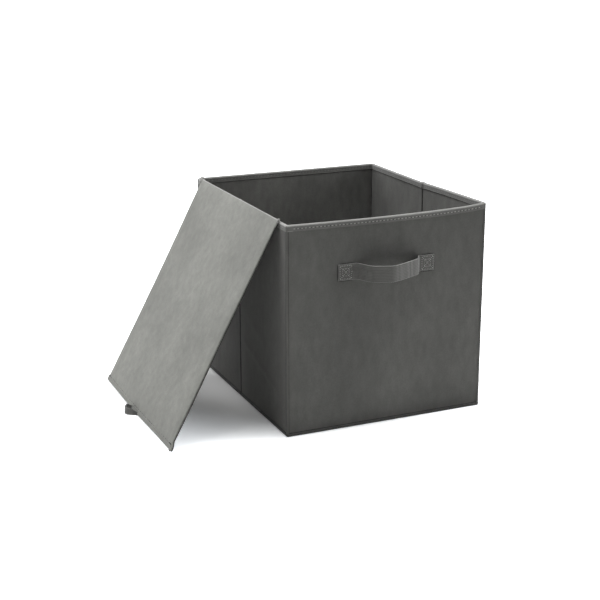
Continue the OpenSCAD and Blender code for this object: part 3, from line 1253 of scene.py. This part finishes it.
def dressHandles():
    runs = handleRuns()
    length = sum(run[0] for run in runs)
    looks["webbing"] = webbingMaterial("webbing", webbingColour, length, handle["width"])
    knot = handle["knot"]
    for side, wall, body, lifted in (
        ("front", "front", "front_wall", "front_handle"),
        ("rear", "back", "back_wall", "rear_handle"),
    ):
        low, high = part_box(side + "_handle_ends")
        span = high.x - low.x
        matrix = wallPlace[wall]
        local = matrix.inverted() @ ((low + high) / 2)
        bm = flatStrip(length, handle["width"], handle["depth"], handle["steps"])
        bendHandle(bm, runs, span)
        if wall == "back":
            bmesh.ops.scale(bm, vec=(-1, 1, 1), verts=bm.verts[:])
            bmesh.ops.reverse_faces(bm, faces=bm.faces[:])
        shift(bm, (local.x, -handle["depth"] / 2 - handle["gap"], local.z))
        # the webbing's long edges and its ends get a painted highlight
        edge = handle["width"] / 2 - handle["webbingHighlight"]
        ends = span / 2 - handle["webbingHighlight"]
        markFaces(bm, lambda spot: abs(spot.z - local.z) > edge or abs(spot.x - local.x) > ends)
        place(bm, matrix)
        stands = [side + "_handle_strap", side + "_handle_ends"]
        piece = addPiece(bm, side + "Handle", "webbing", stands=stands, more=["webbingHighlight"])
        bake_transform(piece)

        bm = bmesh.new()
        for way in (-1, 1):
            stitchEnd(bm, Vector((way * (span / 2 - handle["endLength"] / 2), 0, 0)))
        spot = Vector((-span / 2 + handle["endLength"] - knot["inset"], -knot["out"], knot["up"]))
        addStitch(bm, spot, (1, 0, 0.1), knot["length"], knot["radius"], look=lightLook)
        shift(bm, (local.x, -handle["depth"] - stitching["rise"], local.z))
        place(bm, matrix)
        stands = [side + "_handle_stitching"]
        addPiece(bm, side + "HandleStitches", "thread", body, stands, seamLooks)
    print("handles sewn on")


# the board's own frame has x up its slope, y across it and z out of its upper face
board = dict(
    length=371 * mm,
    width=321.5 * mm,
    depth=4.1 * mm,
    cardDepth=1.7 * mm,
    cardSteps=(46, 40),
    farBow=(1.4 * mm, 1.4 * mm, 2.4 * mm),
    nearBow=2.3 * mm,
    nearSlope=1.7,
    footSpread=(0.4 * mm, 1.7 * mm, 1.2 * mm),
)
cover = dict(
    steps=(92, 80),
    depth=0.72 * mm,
    roll=1.9 * mm,
    rollSteps=5,
    seamGap=0.25 * mm,
    swellReach=13 * mm,
    swell=(0.45 * mm, 0.5 * mm),
    swellScale=(7, 15),
    fineScale=(28, 34),
    fineShare=0.35,
    lowerSwell=0.3 * mm,
    lowerReach=20 * mm,
    ridge=(8 * mm, 2.2 * mm, 0.2 * mm),
    edgeDrop=0.3 * mm,
    ears={(1, 1): 4.4 * mm, (1, -1): 0.8 * mm, (-1, 1): 0.6 * mm, (-1, -1): 6.5 * mm},
    earReach=13 * mm,
    earCrumple=0.5,
    earScale=500,
    earAlong=0.25,
    earFlat=0.15,
    litEnd=14 * mm,
    lowerSeam=1.4 * mm,
    seam=(0.6 * mm, 0.5 * mm),
    seamHeight=0.9 * mm,
    nearShade=(3 * mm, 1.2 * mm),
    foldWearAndHighlight=0.8,
)
tucks = [
    dict(corner=(1, 1), size=(6.0 * mm, 6.5 * mm, 2.8 * mm), out=1.0 * mm, beside=3.0 * mm),
    dict(corner=(1, -1), size=(3.4 * mm, 3.2 * mm, 2.1 * mm), out=0.5 * mm, beside=0),
    dict(corner=(-1, -1), size=(3.5 * mm, 3.5 * mm, 1.8 * mm), out=0.6 * mm, beside=0),
]
tuckInset = (1.5 * mm, 0.5 * mm)
tuckCrumple = 0.2
tuckScale = 260
hem = dict(
    width=8 * mm,
    rise=0.4 * mm,
    depth=0.4 * mm,
    steps=107,
    pitch=4.5 * mm,
    pucker=0.12 * mm,
    wander=0.5 * mm,
    count=70,
    seamAt=0.7,
    stitchLength=2.8 * mm,
    stitchRadius=0.35 * mm,
)


def boardPlace():
    low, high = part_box("base_board_inner_cloth")
    foot = Vector((high.x - board["length"] * math.cos(boardSlope), (low.y + high.y) / 2, 0))
    return Matrix.Translation(foot) @ Matrix.Rotation(-boardSlope, 4, "Y")


# lets the board's outline stray a little from a true rectangle; its foot stays on the floor
def warpBoard(bm):
    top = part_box("base_board_outer_cloth")[1].z
    plain, ends, upper = board["farBow"]
    constant, tilt, belly = board["footSpread"]
    for vert in bm.verts:
        along = 2 * vert.co.z / top - 1
        across = vert.co.y / (board["width"] / 2)
        far = plain + ends * along**2 + upper * fadeIn(along, 1)
        near = board["nearBow"] * max(-1.0, min(0.0, board["nearSlope"] * along))
        vert.co.y += far * fadeIn(across, 1) + near * fadeIn(-across, 1)
        spread = constant + tilt * fadeIn(across + 1, 1.2) + belly * bell(2 * across, 1)
        vert.co.x -= spread * max(0.0, 1 - vert.co.z / top)


def layOnBoard(bm, name, look, stands=(), more=()):
    place(bm, boardPlace())
    warpBoard(bm)
    addPiece(bm, name, look, "base_board", stands, more)


# card, bowed as its cover is
def makeBoardCard():
    away = boardPlace().inverted()
    spots = [away @ vert.co for vert in frame["nodes"]["base_board_card"].data.vertices]
    low = Vector([min(spot[axis] for spot in spots) for axis in range(3)])
    high = Vector([max(spot[axis] for spot in spots) for axis in range(3)])
    middle, size = (low + high) / 2, high - low
    middle.z += board["cardDepth"] / 2
    bm = bmesh.new()
    grid(bm, size.xy, board["cardSteps"], Matrix.Translation(middle))
    thicken(bm, board["cardDepth"], (0, 0, 1))
    layOnBoard(bm, "boardCard", "card", ["base_board_card"])


# pulls a cover's corners out into ears and its long edges down
def pullEars(bm, upper):
    for vert in bm.verts:
        x, y, z = vert.co
        ways = (1 if x > 0 else -1, 1 if y > 0 else -1)
        ear = cover["ears"][ways]
        side = board["width"] / 2 - abs(y)
        gap = math.hypot(board["length"] / 2 - abs(x), side)
        pull = fadeIn(cover["earReach"] - gap, 0.6 * cover["earReach"])
        scale = cover["earScale"]
        crumple = 1 + cover["earCrumple"] * noiseAt(x * scale, y * scale, 3.0)
        vert.co.y += ways[1] * ear * pull * crumple
        if x > 0:
            vert.co.x += cover["earAlong"] * ear * pull
        vert.co.z += (board["depth"] / 2 - z) * cover["earFlat"] * pull
        if upper:
            vert.co.z -= cover["edgeDrop"] * (1 - fadeIn(side, cover["swellReach"]))


# one face of the board's cover, rolled over the edges of the card to the seam
def boardCloth(upper):
    bm = bmesh.new()
    roll = cover["roll"]
    halfL, halfW = board["length"] / 2 - roll, board["width"] / 2 - roll
    top = board["depth"] if upper else 0.0
    seam = board["depth"] / 2 + (cover["seamGap"] if upper else -cover["seamGap"])
    grid(bm, (2 * halfL, 2 * halfW), cover["steps"], Matrix.Translation((0, 0, top)))
    ridgeAt, ridgeReach, ridgeHeight = cover["ridge"]
    least, most = cover["swell"]
    slowX, slowY = cover["swellScale"]
    fastX, fastY = cover["fineScale"]
    for vert in bm.verts:
        x, y, _ = vert.co
        inside = min(halfL - abs(x), halfW - abs(y))
        if upper:
            swell = swellAt(x * slowX, y * slowY, 3.0)
            swell += cover["fineShare"] * noiseAt(x * fastX, y * fastY, 5.0)
            vert.co.z += fadeIn(inside, cover["swellReach"]) * (least + most * swell)
            vert.co.z += ridgeHeight * bell(inside - ridgeAt, ridgeReach)
        else:
            vert.co.z += cover["lowerSwell"] * fadeIn(inside, cover["lowerReach"])
    steps = cover["rollSteps"]
    for number in range(steps):
        before, angle = [math.radians(90) * turn / steps for turn in (number, number + 1)]
        reachBefore, reachNow = roll * math.sin(before), roll * math.sin(angle)
        for vert in extrude(bm, [edge for edge in bm.edges if edge.is_boundary])[0]:
            vert.co.x *= (halfL + reachNow) / (halfL + reachBefore)
            vert.co.y *= (halfW + reachNow) / (halfW + reachBefore)
            vert.co.z = seam + (top - seam) * math.cos(angle)
    pullEars(bm, upper)
    shift(bm, (board["length"] / 2, 0, 0))
    thicken(bm, cover["depth"], (0, 0, 1 if upper else -1))
    return bm


# paints shadow into the seam round the board's edge, some wear and a painted highlight on its rolled upper
# end, and painted shade along its near upper edge
def markCover(bm, upper):
    side = board["width"] / 2
    fold = board["depth"] / 2 + cover["seamHeight"]
    lit = board["length"] - cover["litEnd"]

    def dark(spot):
        return spot.y < 0 or spot.x < lit

    if not upper:
        # the lower cloth's sides get painted shadow, except at the far top corner
        markFaces(bm, lambda spot: abs(spot.y) > side - cover["lowerSeam"] and dark(spot), darkLook)
        return
    inset, reach = cover["seam"]
    far, near = [side - gap for gap in cover["nearShade"]]
    wearAndHighlightFrom = board["length"] - cover["foldWearAndHighlight"] * cover["roll"]
    # the rolled upper end gets the lighter cloth: painted highlight, with some wear
    markFaces(bm, lambda spot: spot.x > wearAndHighlightFrom, lightLook)
    # a band by the seam round the board's edge gets painted shadow
    markFaces(
        bm, lambda spot: abs(abs(spot.y) - side + inset) < reach and spot.z < fold and dark(spot), darkLook
    )
    # a strip along the near upper edge gets painted shade
    markFaces(bm, lambda spot: far < -spot.y < near and spot.z > fold, softLook)


# cloth tucked and sewn at the corners, in the board edge's lighter colour: painted highlight
def makeBoardTucks():
    bm = bmesh.new()
    for tuck in tucks:
        alongWay, sideWay = tuck["corner"]
        x = board["length"] / 2 * (1 + alongWay) - tuckInset[0] * alongWay
        y = sideWay * (board["width"] / 2 - tuckInset[1] + tuck["beside"])
        centre = Vector((x, y, board["depth"] / 2 + tuck["out"]))
        matrix = Matrix.Translation(centre) @ Matrix.Diagonal((*tuck["size"], 1))
        for vert in bmesh.ops.create_icosphere(bm, subdivisions=4, radius=1, matrix=matrix)["verts"]:
            away = vert.co - centre
            vert.co = centre + away * (1 + tuckCrumple * noiseAt(*(vert.co * tuckScale)))
    layOnBoard(bm, "boardTucks", "boardEdgeHighlight")


# tape sewn over the lower end, with painted shadow along its upper edge
def makeBoardHem():
    bm = bmesh.new()
    top = board["depth"] + hem["rise"]
    width = hem["width"]
    halfW = board["width"] / 2
    section = [
        (width + 1.4 * mm, top + 0.1 * mm),
        (width, top + 0.12 * mm),
        (width - 0.8 * mm, top + 0.35 * mm),
        (width * 0.6, top - 0.1 * mm),
        (1.6 * mm, top + 0.05 * mm),
        (0.4 * mm, top - 0.7 * mm),
        (0.0, top / 2),
        (0.4 * mm, 0.5 * mm),
        (1.6 * mm, 0.0),
        (width, 0.0),
    ]
    wire(bm, [(x, -halfW, z) for x, z in section])
    sweep(bm, (0, 2 * halfW, 0), hem["steps"])
    for vert in bm.verts:
        if vert.co.z > 1 * mm and vert.co.x > 2 * mm:
            vert.co.z -= hem["pucker"] * beatAt(vert.co.y, hem["pitch"])
            vert.co.x += hem["wander"] * noiseAt(vert.co.y * 90, 1.0, 2.0)
    thicken(bm, hem["depth"], (-1, 0, 0))
    # a strip along the hem's upper edge gets painted shadow
    markFaces(bm, lambda spot: spot.x > width + 0.05 * mm and spot.z > top - 0.6 * mm, darkLook)
    layOnBoard(bm, "boardHem", "boardCloth", ["base_board_hem"], boardLooks)

    bm = bmesh.new()
    for number in range(hem["count"]):
        y = (number + 0.5 - hem["count"] / 2) * hem["pitch"]
        for z, way in ((top + 0.02 * mm, 1), (0.0, -1)):
            spot = (width * hem["seamAt"], y, z)
            addStitch(bm, spot, (0, 1, 0), hem["stitchLength"], hem["stitchRadius"], normal=(0, 0, way))
    layOnBoard(bm, "boardHemStitches", "darkThread")


def makeBoard():
    makeBoardCard()
    for upper, name, node in (
        (True, "boardUpperCloth", "base_board_outer_cloth"),
        (False, "boardLowerCloth", "base_board_inner_cloth"),
    ):
        bm = boardCloth(upper)
        markCover(bm, upper)
        layOnBoard(bm, name, "boardCloth", [node], boardLooks)
    makeBoardTucks()
    makeBoardHem()
    print("base board covered")


loop = dict(
    depth=1.1 * mm,
    width=11 * mm,
    steps=(60, 5),
    rootShare=0.4,
    rootSwell=1.7,
    lean=1 * mm,
    gather=0.74,
    blend=(-1 * mm, -6 * mm),
)


# ribbon that stands on its edge in an arc at the board's lower end, gathered low at its roots
def makePullLoop():
    low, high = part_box("pull_loop")
    span = high.y - low.y
    bulge = high.x - low.x
    radius = (span * span / 4 + bulge * bulge) / (2 * bulge)
    turn = 2 * math.asin(min(1.0, span / 2 / radius))
    length = radius * turn
    looks["ribbon"] = webbingMaterial("ribbon", webbingColour, length, loop["width"])
    bm = flatStrip(length, loop["width"], loop["depth"], loop["steps"])
    centreY = (low.y + high.y) / 2
    for vert in bm.verts:
        share = min(1.0, max(0.0, vert.co.x / length))
        arch = math.sin(math.pi * share)
        angle = (share - 0.5) * turn
        reach = radius - vert.co.y
        tall = loop["rootShare"] + (1 - loop["rootShare"]) * min(1.0, loop["rootSwell"] * arch)
        z = (vert.co.z + loop["width"] / 2) * tall - loop["width"] / 2
        x = low.x + radius - reach * math.cos(angle) + loop["lean"] * arch * fadeIn(z, loop["width"] / 2)
        y = low.y + (centreY - reach * math.sin(angle) - low.y) * loop["gather"]
        vert.co = (x, y, z)
    shift(bm, (0, 0, (low.z + high.z) / 2))
    turnOut(bm)
    piece = addPiece(bm, "pullLoop", "ribbon", stands=["pull_loop"])
    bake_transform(piece)
    print("pull loop made")


bottom = dict(steps=(80, 92), depth=0.8 * mm, inset=6 * mm, reach=30 * mm, swell=0.24 * mm)


# one sheet under the whole bin, a little wrinkled inside
def makeBottom():
    low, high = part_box("bottom_cloth")
    bm = bmesh.new()
    size = high - low
    grid(bm, size.xy, bottom["steps"], Matrix.Translation((0, 0, high.z)))
    for vert in bm.verts:
        x, y, _ = vert.co
        inside = min(size.x / 2 - abs(x), size.y / 2 - abs(y)) - bottom["inset"]
        vert.co.z += fadeIn(inside, bottom["reach"]) * bottom["swell"] * swellAt(x * 14, y * 11, 2.0)
    thicken(bm, bottom["depth"], (0, 0, 1))
    piece = addPiece(bm, "bottomCloth", "lining", "back_wall", ["bottom_cloth"])
    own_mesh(piece)
    print("bottom laid")


def dressCards():
    for name, piece in frame["nodes"].items():
        if name.endswith("_card"):
            piece.data.materials.clear()
            piece.data.materials.append(looks["card"])


stage = dict(
    floorColour=(0.9, 0.9, 0.9),
    floorSize=80,
    floorDrop=0.3 * mm,
    glow=(0.0, 1.3),
    glowReach=(0.17, 0.46),
    glowCentre=(0.06, -0.06, 0),
    glowColour=(0.93, 0.965, 1.0),
    skyStrength=0.0,
)
lamps = [
    dict(name="top", place=(0, 0, 2.4), aim=(0, 0, 0), size=1.2, power=78),
    dict(name="front", place=(0, -1.2, 2.4), aim=(0, -1, 0), size=1.2, power=7),
    dict(name="back", place=(-0.6, 2.2, 1.9), aim=(-0.1, 0, 0.2), size=1.4, power=42),
    dict(name="left", place=(-2, 0.3, 1.6), aim=(-0.2, 0, 0.2), size=1.4, power=20),
    dict(name="right", place=(2.1, -0.9, 1), aim=(0, 0, 0.2), size=1, power=24),
    dict(name="bounce", place=(0.08, -0.43, 0.012), aim=(0.08, -0.43, 1), size=0.45, power=0.3),
]


# white floor with a glow seen by the camera only, nil near the bin and full farther off, which paints light
# over the outer part of the bin's shadow
def makeFloor():
    bm = bmesh.new()
    size = stage["floorSize"]
    grid(bm, (size, size), (1, 1), Matrix.Translation((0, 0, -stage["floorDrop"])))
    floor = addObject("floor", meshOf(bm, "floor"))
    material, tree, shader = newMaterial("floor")
    shader.inputs["Base Color"].default_value = stage["floorColour"] + (1,)
    shader.inputs["Roughness"].default_value = 0.9
    shader.inputs["Specular IOR Level"].default_value = 0.1
    shader.inputs["Emission Color"].default_value = stage["glowColour"] + (1,)
    path = addNode(tree, "ShaderNodeLightPath")
    centred = objectSpot(tree, Location=stage["glowCentre"])
    reach = addNode(tree, "ShaderNodeVectorMath", {0: centred}, operation="LENGTH").outputs["Value"]
    far = mapped(tree, reach, stage["glow"], stage["glowReach"], "SMOOTHSTEP")
    tree.links.new(product(tree, path.outputs["Is Camera Ray"], far), shader.inputs["Emission Strength"])
    floor.data.materials.append(material)


# the world gives no light, and shows as white
def makeWorld():
    world = bpy.data.worlds.new("studio")
    bpy.context.scene.world = world
    world.use_nodes = True
    tree = world.node_tree
    tree.nodes.clear()
    out = tree.nodes.new("ShaderNodeOutputWorld")
    soft, white = [
        addNode(tree, "ShaderNodeBackground", {"Color": (1, 1, 1, 1), "Strength": strength})
        for strength in (stage["skyStrength"], 1.0)
    ]
    path = addNode(tree, "ShaderNodeLightPath").outputs
    seen = math2(tree, "MAXIMUM", path["Is Camera Ray"], path["Is Glossy Ray"])
    seen = math2(tree, "MAXIMUM", seen, path["Is Transmission Ray"])
    inputs = {0: seen, 1: soft.outputs["Background"], 2: white.outputs["Background"]}
    mix = addNode(tree, "ShaderNodeMixShader", inputs)
    tree.links.new(mix.outputs["Shader"], out.inputs["Surface"])


def makeStage():
    makeFloor()
    makeWorld()
    for lamp in lamps:
        data = bpy.data.lights.new(lamp["name"], "AREA")
        data.shape = "SQUARE"
        data.size = lamp["size"]
        data.energy = lamp["power"]
        light = addObject(lamp["name"], data)
        light.location = lamp["place"]
        light.visible_camera = False
        way = Vector(lamp["aim"]) - Vector(lamp["place"])
        light.rotation_euler = way.to_track_quat("-Z", "Y").to_euler()
    bpy.context.scene.view_settings.view_transform = "Standard"
    print("stage and lamps set")


makeCamera()
makeStage()
dressWalls()
makeSleeves()
makeCorners()
makeOpenCornerPosts()
makeRim()
makeBaseTape()
makeCreases()
dressHandles()
makeBoard()
makePullLoop()
makeBottom()
dressCards()
